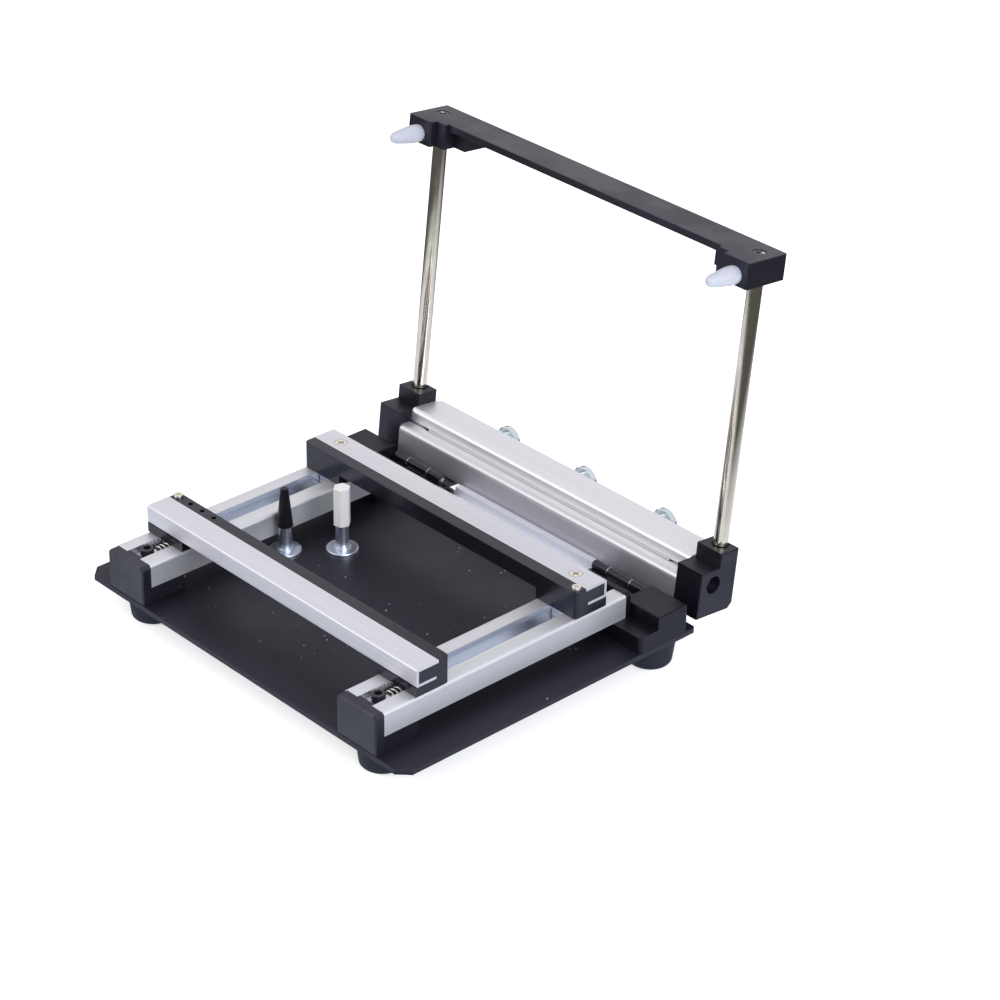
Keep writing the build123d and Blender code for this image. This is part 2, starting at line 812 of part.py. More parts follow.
def thumb_screw(x):
    disc = rod_along_y(0, 0, thumb_disc_front, thumb_disc_back, thumb_disc_radius)
    disc = chamfer(disc.edges(), thumb_edge)
    collar = rod_along_y(0, 0, thumb_collar_front, thumb_disc_front, thumb_collar_radius)
    collar = fillet(collar.edges().group_by(Axis.Y)[0], thumb_edge)
    shank = rod_along_y(0, 0, jaw_back + thumb_tip_gap, thumb_collar_front, screw_shank)
    return Pos(x, 0, thumb_w) * (disc + collar + shank)


def side_screw(side):
    """A screw along X, with a plain point inside and a socket head in the block's pocket."""
    head_start = side_tip + side_screw_length
    head_end = head_start + side_screw_head_height
    point_end = side_tip + side_screw_point
    shank = rod_along_x(0, 0, point_end, head_start, side_screw_radius)
    point = rod_along_x(0, 0, side_tip, point_end, side_screw_radius * 0.8)
    head = rod_along_x(0, 0, head_start, head_end, side_screw_head)
    hexagon = extrude(RegularPolygon(socket_size / 2, 6, major_radius=False), side_screw_head_height)
    place = Pos(head_start + side_screw_head_height * 0.4, 0, 0) * Rot(0, 90, 0)
    screw = shank + point + head - place * hexagon
    if side < 0:
        screw = mirror(screw, Plane.YZ)
    return Pos(0, side_screw_v, side_screw_w) * screw


def make_rod(side):
    rod = post(side * rod_x, rod_v, rod_bottom, rod_top, rod_radius)
    rod = chamfer(rod.edges().filter_by(GeomType.CIRCLE), rod_chamfer)
    bore_end = cross_top - rod_screw_recess - rod_screw_length
    return rod - post(side * rod_x, rod_v, bore_end, rod_top, screw_shank)


def make_crossbar():
    under = cross_top - cross_lug_height
    bar = block(
        -lug_middle_inner_x,
        lug_middle_inner_x,
        cross_bar_front,
        cross_back,
        cross_top - cross_bar_thick,
        cross_top,
    )
    for side in sides.values():
        outer = block(side * lug_outer_inner_x, side * gate_outer, cross_front, cross_back, under, cross_top)
        outer = fillet(outer.edges().filter_by(Axis.Z), lug_round)
        middle_outer = side * (lug_outer_inner_x + lug_round * 2)
        middle_inner = side * lug_middle_inner_x
        middle = block(middle_inner, middle_outer, lug_middle_front, cross_back, under, cross_top)
        last = block(side * lug_last_inner_x, middle_inner, lug_last_front, cross_back, under, cross_top)
        bar = bar + outer + middle + last
    bar = chamfer(bar.faces().sort_by(Axis.Z)[-1].edges(), metal_break)
    for side in sides.values():
        x = side * rod_x
        bar -= post(x, rod_v, under, rod_top, rod_radius)
        hole = screw_hole(screw_shank, flat_head, flat_head_height, cross_top - rod_top, 1)
        bar -= Pos(x, rod_v, cross_top - rod_screw_recess) * hole
        bar -= rod_along_y(x, bumper_w, cross_front, cross_front + bumper_stem_length, bumper_stem)
    return bar


def rod_screw(side):
    screw = flat_screw(screw_shank, flat_head, flat_head_height, rod_screw_length)
    return Pos(side * rod_x, rod_v, cross_top - rod_screw_recess) * screw


def make_bumper(side):
    """A soft bullet-shaped bumper that meets the base plate when the gate is shut."""
    straight = bumper_length * 0.35
    tip_start = bumper_length - bumper_tip
    profile = Polyline((0, -bumper_stem_length), (bumper_stem, -bumper_stem_length), (bumper_stem, 0))
    profile += Polyline((bumper_stem, 0), (bumper_radius * 0.93, 0))
    profile += Spline(
        (bumper_radius * 0.93, 0),
        (bumper_radius, straight * 0.5),
        (bumper_radius * 0.78, tip_start * 0.75),
        (bumper_tip * 0.9, tip_start + bumper_tip * 0.6),
        (0, bumper_length),
        tangents=((0.3, 1), (-1, 0)),
    )
    profile += Line((0, bumper_length), (0, -bumper_stem_length))
    solid = revolve(make_face(profile), Axis.Y)
    return Pos(side * rod_x, cross_front, bumper_w) * Rot(180, 0, 0) * solid


def support_post():
    """The steel foot and shaft of a loose support, with a stud for its tip."""
    disc = post(0, 0, 0, support_disc_thick, support_disc_radius)
    disc = fillet(disc.edges().group_by(Axis.Z)[-1], metal_break * 2)
    collar_top = support_disc_thick + support_collar_height
    collar = post(0, 0, support_disc_thick, collar_top, support_collar_radius)
    collar = fillet(collar.edges().group_by(Axis.Z)[-1], metal_break * 2)
    shaft = post(0, 0, collar_top, support_tip_bottom, support_shaft_radius)
    stud = post(0, 0, support_tip_bottom, support_tip_bottom + support_stud_length, support_stud_radius)
    return disc + collar + shaft + stud - post(0, 0, 0, magnet_thick, magnet_radius)


def stud_hole():
    return post(0, 0, support_tip_bottom, support_tip_bottom + support_stud_length, support_stud_radius)


def cone_tip():
    height = support_height - support_tip_bottom
    middle = (support_height + support_tip_bottom) / 2
    tip = Pos(0, 0, middle) * Cone(cone_bottom_radius, cone_top_radius, height)
    return fillet(tip.edges().group_by(Axis.Z)[-1], metal_break) - stud_hole()


def hex_tip():
    outline = RegularPolygon(hex_flats / 2, 6, major_radius=False, rotation=10)
    tip = extrude(Pos(0, 0, support_tip_bottom) * outline, support_height - support_tip_bottom)
    return chamfer(tip.edges().group_by(Axis.Z)[-1], metal_break) - stud_hole()


def add(name, shape):
    nodes[name] = shape


def add_group(name, shapes):
    nodes[name] = Compound([item.solid() for item in shapes])


def closing_angle():
    """How far the gate turns from open until its bumpers are just above the base plate."""
    tip_v = cross_front - bumper_length - axis_v
    tip_w = bumper_w - axis_w
    reach = math.hypot(tip_v, tip_w)
    start = math.degrees(math.atan2(tip_w, tip_v)) - gate_lean
    drop = hinge_lift - seat_gap - 0.4 * bumper_tip
    return 180 + math.degrees(math.asin(drop / reach)) - start


def build_base():
    add("base_plate", make_base_plate())
    names = ["foot_front_left", "foot_front_right", "foot_rear_left", "foot_rear_right"]
    for name, (x, y) in zip(names, foot_places()):
        add(name, make_foot(x, y))
    add_group("foot_screws", [foot_screw(x, y) for x, y in foot_places()])
    for name, side in sides.items():
        add("rail_" + name, make_rail(side))
        add("front_block_" + name, make_front_block(side))
        add("rear_block_" + name, make_rear_block(side))
        add("hinge_leaf_fixed_" + name, fixed_leaf(side))
        add("hinge_pin_" + name, hinge_pin(side))
    add_group("rail_screws", [rail_screw(side) for side in sides.values()])
    add("hinge_rail", make_hinge_rail())
    add_group("hinge_rail_screws", [hinge_rail_screw(side) for side in sides.values()])
    add_group("hinge_fixed_screws", fixed_leaf_screws(-1) + fixed_leaf_screws(1))


def build_bars():
    add("front_clamp_channel", at_front(make_channel(False)))
    add("front_clamp_body", at_front(make_clamp_body(True)))
    add("front_strip_screw", at_front(strip_screw()))
    add("rear_clamp_channel", at_rear(make_channel(True)))
    add("rear_clamp_body", at_rear(make_clamp_body(False)))
    add("rear_strip_screw", at_rear(strip_screw()))
    add_group("rear_clamp_screws", [at_rear(clamp_screw(side)) for side in sides.values()])
    add_group("rear_clamp_nuts", [at_rear(clamp_nut(side)) for side in sides.values()])
    for name, side in sides.items():
        add("stop_" + name, make_stop(side))
        add("spring_" + name, make_spring(side))
    add_group("stop_screws", [stop_screw(side) for side in sides.values()])


def build_gate():
    for name, side in sides.items():
        add("gate_block_" + name, on_gate(make_gate_block(side)))
        add("rod_" + name, on_gate(make_rod(side)))
        add("bumper_" + name, on_gate(make_bumper(side)))
        add("hinge_leaf_moving_" + name, on_gate(moving_leaf(side)))
    add("gate_front_profile", on_gate(make_front_profile()))
    add("gate_rear_channel", on_gate(make_rear_channel()))
    add("crossbar", on_gate(make_crossbar()))
    add_group("crossbar_screws", [on_gate(rod_screw(side)) for side in sides.values()])
    leaf_screws = moving_leaf_screws(-1) + moving_leaf_screws(1)
    add_group("hinge_moving_screws", [on_gate(screw) for screw in leaf_screws])
    add("stencil_jaw", on_gate(make_jaw()))
    for name, x in zip(["left", "middle", "right"], thumb_places()):
        add("thumb_screw_" + name, on_gate(thumb_screw(x)))
    add_group("side_screws", [on_gate(side_screw(side)) for side in sides.values()])


def build_supports():
    places = {"cone": (cone_support_x, cone_support_y), "hex": (hex_support_x, hex_support_y)}
    tips = {"cone": cone_tip(), "hex": hex_tip()}
    for name, tip in tips.items():
        place = Pos(*places[name], plate_top)
        add(name + "_support_post", place * support_post())
        add(name + "_support_tip", place * tip)
        add(name + "_support_magnet", place * post(0, 0, 0, magnet_thick, magnet_radius))


def write_parts():
    whole = Compound(list(nodes.values()))
    middle = whole.bounding_box().center()
    os.makedirs("parts", exist_ok=True)
    for name, shape in nodes.items():
        export_step(Pos(-middle.X, -middle.Y, 0) * shape, "parts/" + name + ".step")
    print("nodes", len(nodes), "size", whole.bounding_box().size)
    print("shift in Y", -middle.Y)
    print("hinge axis at rest", hinge_y - middle.Y, hinge_z, "closing angle", closing_angle())
    print("plate top", plate_top, "rail top", rail_top, "bar top", rail_top + bar_rise)


build_base()
build_bars()
build_gate()
build_supports()
write_parts()
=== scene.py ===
# %% [markdown]
# # Dressing a manual stencil printer
#
# A stencil printer holds a small circuit board between two clamp bars. A hinged gate lays a
# thin metal stencil over it, and solder paste is wiped through by hand. The shape of every
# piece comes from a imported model, the frame. This lesson gives those pieces their finish,
# adds what a solid model leaves plain, and photographs the result.

# %% Load the frame
import json
import math
import bmesh
import bpy
from mathutils import Matrix, Vector


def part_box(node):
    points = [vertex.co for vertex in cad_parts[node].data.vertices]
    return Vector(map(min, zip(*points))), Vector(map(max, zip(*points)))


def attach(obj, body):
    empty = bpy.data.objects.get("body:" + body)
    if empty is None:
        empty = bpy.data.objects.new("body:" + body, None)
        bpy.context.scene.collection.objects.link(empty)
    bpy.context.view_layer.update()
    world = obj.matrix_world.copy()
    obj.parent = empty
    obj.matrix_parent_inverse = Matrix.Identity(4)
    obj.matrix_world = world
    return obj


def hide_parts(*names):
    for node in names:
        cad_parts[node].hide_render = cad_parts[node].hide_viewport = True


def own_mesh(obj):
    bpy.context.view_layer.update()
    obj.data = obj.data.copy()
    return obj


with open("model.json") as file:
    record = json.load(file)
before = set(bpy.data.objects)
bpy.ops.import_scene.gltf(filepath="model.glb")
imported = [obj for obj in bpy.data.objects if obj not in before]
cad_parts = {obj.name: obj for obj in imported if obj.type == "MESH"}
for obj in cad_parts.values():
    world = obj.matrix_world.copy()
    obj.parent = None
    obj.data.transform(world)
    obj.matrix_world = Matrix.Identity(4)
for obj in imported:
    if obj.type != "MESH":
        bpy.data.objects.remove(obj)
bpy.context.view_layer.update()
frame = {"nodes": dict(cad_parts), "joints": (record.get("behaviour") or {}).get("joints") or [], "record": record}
MM = 0.001
print("pieces in the frame:", len(frame["nodes"]))

# %% [markdown]
# ## Where things are
#
# The gate leans back a little, so its pieces don't follow the three main axes. The joints say
# how it lies: the jaw slides along the gate's own front-to-back line, and the hinge lies along
# X. A cross product of the two gives the direction up the gate, and no angle has to be typed in.

# %% Read the gate's axes from its joints
joints = {joint["name"]: joint for joint in frame["joints"]}
hinge_point = Vector(joints["gate_hinge"]["pos_m"])
across = Vector((1, 0, 0))
gate_back = -Vector(joints["jaw_slide"]["axis"]).normalized()
gate_up = across.cross(gate_back).normalized()
print("the gate leans back", round(math.degrees(math.acos(gate_up.z)), 2), "degrees")


# %% Pick the nodes of one finish
def nodes_of(slot):
    """The frame's objects whose record entry names this material slot."""
    return [frame["nodes"][part["node"]] for part in frame["record"]["subparts"]
            if part["material_slot"] == slot]


def dress(slot, material):
    """Give one material to every node of a slot."""
    for node in nodes_of(slot):
        node.data.materials.clear()
        node.data.materials.append(material)
    print(slot, "wears", material.name, "on", len(nodes_of(slot)), "nodes")


def dress_node(name, material):
    """Give one node a material that the rest of its slot doesn't wear."""
    frame["nodes"][name].data.materials[0] = material
    print(name, "wears", material.name)


# %% [markdown]
# ## Effects that several materials share
#
# Machined and moulded surfaces are never even. Drawn aluminium carries fine lines along its
# length, moulded plastic has a grain, and both gather dust. Each of these is a node group,
# built once. A material places the group and gives it its own sizes, so the lines on a rail and
# on a clamp bar come from one recipe.

# %% Make a node group
def new_group(name, inputs, outputs):
    """An empty shader group with its named sockets, and its two end nodes."""
    tree = bpy.data.node_groups.new(name, "ShaderNodeTree")
    for label, kind, value in inputs:
        socket = tree.interface.new_socket(name=label, in_out="INPUT", socket_type=kind)
        if value is not None:
            socket.default_value = value
    for label in outputs:
        tree.interface.new_socket(name=label, in_out="OUTPUT", socket_type="NodeSocketFloat")
    return tree, tree.nodes.new("NodeGroupInput"), tree.nodes.new("NodeGroupOutput")


def math_node(tree, operation, first, second=None, clamp=False):
    """A Math node whose inputs are sockets or numbers. It returns the output socket."""
    node = tree.nodes.new("ShaderNodeMath")
    node.operation = operation
    node.use_clamp = clamp
    for socket, value in zip(node.inputs, (first, second)):
        if isinstance(value, (int, float)):
            socket.default_value = value
        elif value is not None:
            tree.links.new(value, socket)
    return node.outputs[0]


def noise(tree, vector, scale, detail=3.0, roughness=0.55):
    """A Noise texture. It returns the factor socket."""
    node = tree.nodes.new("ShaderNodeTexNoise")
    node.inputs["Detail"].default_value = detail
    node.inputs["Roughness"].default_value = roughness
    tree.links.new(vector, node.inputs["Vector"])
    if isinstance(scale, (int, float)):
        node.inputs["Scale"].default_value = scale
    else:
        tree.links.new(scale, node.inputs["Scale"])
    return node.outputs[0]


def steps(tree, value, low, high):
    """Spread a value so that low becomes 0 and high becomes 1, with soft ends."""
    node = tree.nodes.new("ShaderNodeMapRange")
    node.interpolation_type = "SMOOTHSTEP"
    node.inputs["From Min"].default_value = low
    node.inputs["From Max"].default_value = high
    tree.links.new(value, node.inputs["Value"])
    return node.outputs["Result"]


def split(tree, vector):
    """The coordinates of a vector, as the sockets X, Y and Z."""
    node = tree.nodes.new("ShaderNodeSeparateXYZ")
    tree.links.new(vector, node.inputs[0])
    return node.outputs


# %% [markdown]
# ### Drawn lines
#
# An extrusion is pulled through a die, so its marks run the full length. Squeezing the noise
# across the pull and stretching it along the pull turns specks into lines. Two sizes are mixed:
# broad bands that change the tone, and hairlines that catch the light.

# %% Drawn lines group
def drawn_lines_group():
    inputs = [
        ("Vector", "NodeSocketVector", None),
        ("Along", "NodeSocketFloat", 12.0),
        ("Across", "NodeSocketFloat", 900.0),
    ]
    tree, ends, out = new_group("drawn lines", inputs, ["Tone", "Height"])
    squeeze = tree.nodes.new("ShaderNodeCombineXYZ")
    tree.links.new(ends.outputs["Along"], squeeze.inputs["X"])
    tree.links.new(ends.outputs["Across"], squeeze.inputs["Y"])
    tree.links.new(ends.outputs["Across"], squeeze.inputs["Z"])
    stretched = tree.nodes.new("ShaderNodeVectorMath")
    stretched.operation = "MULTIPLY"
    tree.links.new(ends.outputs["Vector"], stretched.inputs[0])
    tree.links.new(squeeze.outputs[0], stretched.inputs[1])
    bands = noise(tree, stretched.outputs[0], 0.6, detail=2.0)
    hairs = noise(tree, stretched.outputs[0], 3.0, detail=5.0, roughness=0.7)
    band_share = 0.6
    broad = math_node(tree, "MULTIPLY", bands, band_share)
    fine = math_node(tree, "MULTIPLY", hairs, 1.0 - band_share)
    tree.links.new(steps(tree, math_node(tree, "ADD", broad, fine), 0.3, 0.7), out.inputs["Tone"])
    tree.links.new(hairs, out.inputs["Height"])
    return tree


# %% [markdown]
# ### Moulded grain
#
# Steel moulds are spark eroded or blasted, which leaves an even, pebbled skin on the plastic.
# A fine noise gives its height, and a second, much larger one gives the cloudy difference in
# gloss that handling leaves. Such a scale is a number of cells to the metre, so 4000 means grains
# of a quarter of a millimetre.

# %% Moulded grain group
def moulded_grain_group():
    inputs = [
        ("Vector", "NodeSocketVector", None),
        ("Grain", "NodeSocketFloat", 4000.0),
        ("Cloud", "NodeSocketFloat", 60.0),
    ]
    tree, ends, out = new_group("moulded grain", inputs, ["Height", "Speckle", "Cloud"])
    grain = noise(tree, ends.outputs["Vector"], ends.outputs["Grain"], detail=2.0, roughness=0.6)
    cloud = noise(tree, ends.outputs["Vector"], ends.outputs["Cloud"], detail=4.0, roughness=0.6)
    tree.links.new(grain, out.inputs["Height"])
    tree.links.new(steps(tree, grain, 0.35, 0.75), out.inputs["Speckle"])
    tree.links.new(steps(tree, cloud, 0.35, 0.65), out.inputs["Cloud"])
    return tree


# %% [markdown]
# ### Dust
#
# Under studio light a black surface shows every crumb. A Voronoi texture scatters one point in
# each of its cells, so what lies near enough to the point is a speck. A coarse noise keeps most
# of the cells empty, because evenly spread specks look like a printed pattern.

# %% Dust group
def dust_group():
    inputs = [
        ("Vector", "NodeSocketVector", None),
        ("Spacing", "NodeSocketFloat", 500.0),
        ("Size", "NodeSocketFloat", 0.12),
    ]
    tree, ends, out = new_group("dust", inputs, ["Mask"])
    cells = tree.nodes.new("ShaderNodeTexVoronoi")
    tree.links.new(ends.outputs["Vector"], cells.inputs["Vector"])
    tree.links.new(ends.outputs["Spacing"], cells.inputs["Scale"])
    near = math_node(tree, "LESS_THAN", cells.outputs["Distance"], ends.outputs["Size"])
    patchiness = 90.0
    patch = steps(tree, noise(tree, ends.outputs["Vector"], patchiness), 0.52, 0.62)
    tree.links.new(math_node(tree, "MULTIPLY", near, patch, clamp=True), out.inputs["Mask"])
    return tree


# %% [markdown]
# ### Masks by place
#
# Some differences follow the shape and not a texture: the inside of a rail slot is smoother than
# its top and is painted bluer and brighter, a painted reflection, and the upper edge of the gate's
# front is painted brighter than the face below it, a painted highlight. Two small groups answer
# where a point is.

# %% Masks by place
def slot_group():
    """1 inside the T slots: near the middle line of either rail and below its top."""
    inputs = [
        ("Vector", "NodeSocketVector", None),
        ("Side", "NodeSocketFloat", 0.0),
        ("Half", "NodeSocketFloat", 0.004),
        ("Top", "NodeSocketFloat", 0.016),
    ]
    tree, ends, out = new_group("slot", inputs, ["Mask"])
    place = split(tree, ends.outputs["Vector"])
    outward = math_node(tree, "ABSOLUTE", place["X"])
    off_side = math_node(tree, "SUBTRACT", outward, ends.outputs["Side"])
    near = math_node(tree, "LESS_THAN", math_node(tree, "ABSOLUTE", off_side), ends.outputs["Half"])
    under = math_node(tree, "LESS_THAN", place["Z"], ends.outputs["Top"])
    tree.links.new(math_node(tree, "MULTIPLY", near, under), out.inputs["Mask"])
    return tree


def above_group():
    """1 above a height, with a soft change over the spread."""
    inputs = [
        ("Vector", "NodeSocketVector", None),
        ("Height", "NodeSocketFloat", 0.0),
        ("Spread", "NodeSocketFloat", 0.001),
    ]
    tree, ends, out = new_group("above", inputs, ["Mask"])
    place = split(tree, ends.outputs["Vector"])
    over = math_node(tree, "SUBTRACT", place["Z"], ends.outputs["Height"])
    share = math_node(tree, "DIVIDE", over, ends.outputs["Spread"])
    tree.links.new(steps(tree, share, -0.5, 0.5), out.inputs["Mask"])
    return tree


# %% Build the shared effects
GROUPS = {
    "lines": drawn_lines_group(),
    "grain": moulded_grain_group(),
    "dust": dust_group(),
    "slot": slot_group(),
    "above": above_group(),
}
print("shared effects:", ", ".join(sorted(GROUPS)))


# %% [markdown]
# ## A workbench for materials
#
# Every finish starts in the same way: a Principled shader, object coordinates, and a bump node
# where the surface has relief. Object coordinates are fixed to the piece, so the lines travel
# with the gate when it swings.

# %% Material helpers
class Finish:
    """A material in the making, with its shader, its coordinates and short ways to add nodes."""

    def __init__(self, name, color, rough, metallic=0.0, specular=0.5):
        self.material = bpy.data.materials.new(name)
        self.material.use_nodes = True
        self.tree = self.material.node_tree
        self.shader = self.tree.nodes["Principled BSDF"]
        self.shader.inputs["Base Color"].default_value = (*color, 1.0)
        self.shader.inputs["Roughness"].default_value = rough
        self.shader.inputs["Metallic"].default_value = metallic
        self.shader.inputs["Specular IOR Level"].default_value = specular
        self.color = (*color, 1.0)
        self.place = self.tree.nodes.new("ShaderNodeTexCoord").outputs["Object"]

    def gloss(self, color):
        """Tint the shine. On a black surface the shine is most of what the eye sees."""
        self.shader.inputs["Specular Tint"].default_value = (*color, 1.0)

    def effect(self, key, **sizes):
        """Place a shared effect with this material's own sizes."""
        node = self.tree.nodes.new("ShaderNodeGroup")
        node.node_tree = GROUPS[key]
        self.tree.links.new(self.place, node.inputs["Vector"])
        for label, value in sizes.items():
            node.inputs[label].default_value = value
        return node.outputs

    def tint(self, mask, color, amount=1.0):
        """Mix another colour over the present one where the mask is 1."""
        mix = self.tree.nodes.new("ShaderNodeMix")
        mix.data_type = "RGBA"
        share = math_node(self.tree, "MULTIPLY", mask, amount, clamp=True)
        self.tree.links.new(share, mix.inputs["Factor"])
        entry = self.shader.inputs["Base Color"]
        if entry.links:
            self.tree.links.new(entry.links[0].from_socket, mix.inputs["A"])
        else:
            mix.inputs["A"].default_value = self.color
        mix.inputs["B"].default_value = (*color, 1.0)
        self.tree.links.new(mix.outputs["Result"], entry)

    def vary(self, entry, mask, low, high):
        """Let a number on the shader run from low to high with the mask."""
        spread = self.tree.nodes.new("ShaderNodeMapRange")
        spread.inputs["To Min"].default_value = low
        spread.inputs["To Max"].default_value = high
        self.tree.links.new(mask, spread.inputs["Value"])
        self.tree.links.new(spread.outputs["Result"], self.shader.inputs[entry])

    def settle(self, entry, mask, value):
        """Pull a number on the shader to one value where the mask is 1."""
        pull = self.tree.nodes.new("ShaderNodeMix")
        pull.inputs["A"].default_value = self.shader.inputs[entry].default_value
        pull.inputs["B"].default_value = value
        self.tree.links.new(mask, pull.inputs["Factor"])
        if self.shader.inputs[entry].links:
            self.tree.links.new(self.shader.inputs[entry].links[0].from_socket, pull.inputs["A"])
        self.tree.links.new(pull.outputs["Result"], self.shader.inputs[entry])

    def bump(self, height, depth):
        """Add relief of a depth in metres."""
        node = self.tree.nodes.new("ShaderNodeBump")
        node.inputs["Strength"].default_value = 1.0
        node.inputs["Distance"].default_value = depth
        self.tree.links.new(height, node.inputs["Height"])
        self.tree.links.new(node.outputs["Normal"], self.shader.inputs["Normal"])


# %% [markdown]
# ## Black plastic
#
# The end blocks, the clamp bodies and the crossbar are moulded in the same charcoal plastic,
# with a bluish cast. The blocks have the coarser grain and the crossbar is almost smooth, so the
# recipe takes the grain and the gloss as numbers. The rear blocks and the gate's blocks wear
# darker, less shiny copies of the block plastic, which is painted shade.

# %% Black plastic
BLUISH = (0.8, 0.78, 1.0)


def black_plastic(name, color, rough, grain, relief, dust=0.0, specular=0.5):
    finish = Finish(name, color, rough, specular=specular)
    finish.gloss(BLUISH)
    skin = finish.effect("grain", Grain=grain, Cloud=90.0)
    finish.tint(skin["Speckle"], tuple(c * 1.9 + 0.006 for c in color), 0.55)
    finish.tint(skin["Cloud"], tuple(c * 0.72 for c in color), 0.5)
    finish.vary("Roughness", skin["Cloud"], rough - 0.06, rough + 0.07)
    finish.bump(skin["Height"], relief)
    if dust:
        specks = finish.effect("dust", Spacing=620.0, Size=dust)
        finish.tint(specks["Mask"], (0.45, 0.45, 0.47), 0.8)
    return finish.material


block_black = black_plastic(
    "block plastic", (0.006, 0.0059, 0.0095), 0.42,
    grain=2600.0, relief=0.04 * MM, dust=0.1, specular=0.65)
crossbar_black = black_plastic(
    "crossbar plastic", (0.008, 0.0078, 0.0115), 0.32,
    grain=6500.0, relief=0.006 * MM, specular=0.62)
clamp_black = black_plastic(
    "clamp plastic", (0.005, 0.0049, 0.0078), 0.22,
    grain=6000.0, relief=0.004 * MM, dust=0.08)
# Painted shade: the rear blocks wear a darker, less shiny copy of the block plastic.
rear_block_shaded_black = black_plastic(
    "rear block plastic painted darker", (0.004, 0.0039, 0.0065), 0.36,
    grain=5200.0, relief=0.01 * MM, dust=0.07, specular=0.24)
# Painted shade: the gate's blocks wear a darker, less shiny copy of the block plastic.
gate_block_shaded_black = black_plastic(
    "gate block plastic painted darker", (0.0035, 0.0034, 0.006), 0.38,
    grain=2600.0, relief=0.04 * MM, specular=0.42)
dress("moulded_black", block_black)
dress("crossbar_black", crossbar_black)
dress("clamp_black", clamp_black)
for side in ("left", "right"):
    dress_node("rear_block_" + side, rear_block_shaded_black)
    dress_node("gate_block_" + side, gate_block_shaded_black)


# %% [markdown]
# ## The painted base plate
#
# The plate is thin sheet steel with a satin black coat. It is the largest dark surface, so it
# needs slow changes in tone as well as a very fine texture, and a scatter of dust.

# %% Plate paint
def plate_paint():
    finish = Finish("plate paint", (0.005, 0.0049, 0.0085), 0.4, specular=0.46)
    finish.gloss(BLUISH)
    skin = finish.effect("grain", Grain=7000.0, Cloud=28.0)
    finish.tint(skin["Cloud"], (0.0085, 0.0086, 0.0135), 0.7)
    finish.vary("Roughness", skin["Cloud"], 0.43, 0.55)
    finish.bump(skin["Height"], 0.012 * MM)
    specks = finish.effect("dust", Spacing=420.0, Size=0.085)
    finish.tint(specks["Mask"], (0.5, 0.5, 0.52), 0.9)
    return finish.material


dress("plate_black", plate_paint())


# %% [markdown]
# ## Rubber feet
#
# The feet are plain moulded rubber: as dark as the plastic but duller, with only a faint bluish
# sheen on the rounded edge.

# %% Foot rubber
def foot_rubber():
    finish = Finish("foot rubber", (0.007, 0.0075, 0.0105), 0.6, specular=0.45)
    finish.gloss((0.75, 0.83, 1.0))
    skin = finish.effect("grain", Grain=3600.0, Cloud=120.0)
    finish.tint(skin["Speckle"], (0.026, 0.028, 0.034), 0.4)
    finish.vary("Roughness", skin["Cloud"], 0.64, 0.8)
    finish.bump(skin["Height"], 0.04 * MM)
    return finish.material


dress("foot_rubber", foot_rubber())


# %% [markdown]
# ## Anodised aluminium
#
# Anodising turns bright aluminium into a soft, even silver. It is a metal under a thin clear
# skin: fairly rough, and streaked along the extrusion. The rails are pulled along Y and
# everything else along X, so the rails' coordinates are turned before the lines are laid on them,
# and put back afterwards for the masks.

# %% Anodised aluminium
def aluminium(name, color, rough, along_y=False, fineness=900.0, contrast=0.5):
    finish = Finish(name, color, rough, metallic=0.82)
    if along_y:
        turn = finish.tree.nodes.new("ShaderNodeMapping")
        turn.inputs["Rotation"].default_value = (0.0, 0.0, math.radians(90))
        finish.tree.links.new(finish.place, turn.inputs["Vector"])
        finish.place = turn.outputs["Vector"]
    lines = finish.effect("lines", Along=14.0, Across=fineness)
    finish.tint(lines["Tone"], tuple(c * 0.86 for c in color), contrast)
    finish.vary("Roughness", lines["Tone"], rough - 0.05, rough + 0.06)
    finish.bump(lines["Height"], 0.006 * MM)
    finish.place = finish.tree.nodes.new("ShaderNodeTexCoord").outputs["Object"]
    return finish


clamp_metal = aluminium("clamp bar aluminium", (0.76, 0.75, 0.785), 0.5, fineness=1400.0)
gate_metal = aluminium("gate aluminium", (0.84, 0.835, 0.855), 0.42, contrast=0.3)
hinge_metal = aluminium("hinge rail aluminium", (0.9, 0.91, 0.95), 0.6)
dress("clamp_aluminium", clamp_metal.material)
dress("gate_aluminium", gate_metal.material)
dress("hinge_aluminium", hinge_metal.material)


# %% [markdown]
# Two of the aluminium pieces aren't the same all over. The slots of the rails are smoother than
# their tops and are painted bluer and brighter, a painted reflection, and the rounded upper edge of
# the gate's front is painted brighter than its face, a painted highlight. One material with a mask
# does this, and the piece's faces stay as they are.

# %% Aluminium that differs by place
def rail_metal():
    """Aluminium with smoother slots, painted bluer and brighter as a painted reflection. The springs lie on the
    slots' middle line.
    """
    low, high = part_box("spring_right")
    middle = (low[0] + high[0]) / 2
    finish = aluminium("rail aluminium", (0.74, 0.74, 0.765), 0.5, along_y=True)
    slots = finish.effect("slot", Side=middle, Half=4.2 * MM, Top=16.1 * MM)["Mask"]
    # Painted reflection: the slots are painted bluer and brighter than the tops.
    finish.tint(slots, (0.8, 0.85, 0.95), 0.8)
    finish.settle("Roughness", slots, 0.2)
    return finish.material


def front_metal():
    """Streaked aluminium, painted darker as a dark reflection, with a painted highlight on the upper edge."""
    # The face's colour is a darker copy of the gate aluminium: a painted dark reflection.
    finish = aluminium(
        "gate front aluminium", (0.56, 0.53, 0.57), 0.48, fineness=600.0, contrast=0.9)
    # Painted highlight: the upper edge is painted brighter than the face.
    upper_highlight = finish.effect("above", Height=14.8 * MM, Spread=0.7 * MM)["Mask"]
    finish.tint(upper_highlight, (0.7, 0.69, 0.71), 0.95)
    finish.settle("Roughness", upper_highlight, 0.44)
    return finish.material


dress("rail_aluminium", rail_metal())
dress_node("gate_front_profile", front_metal())


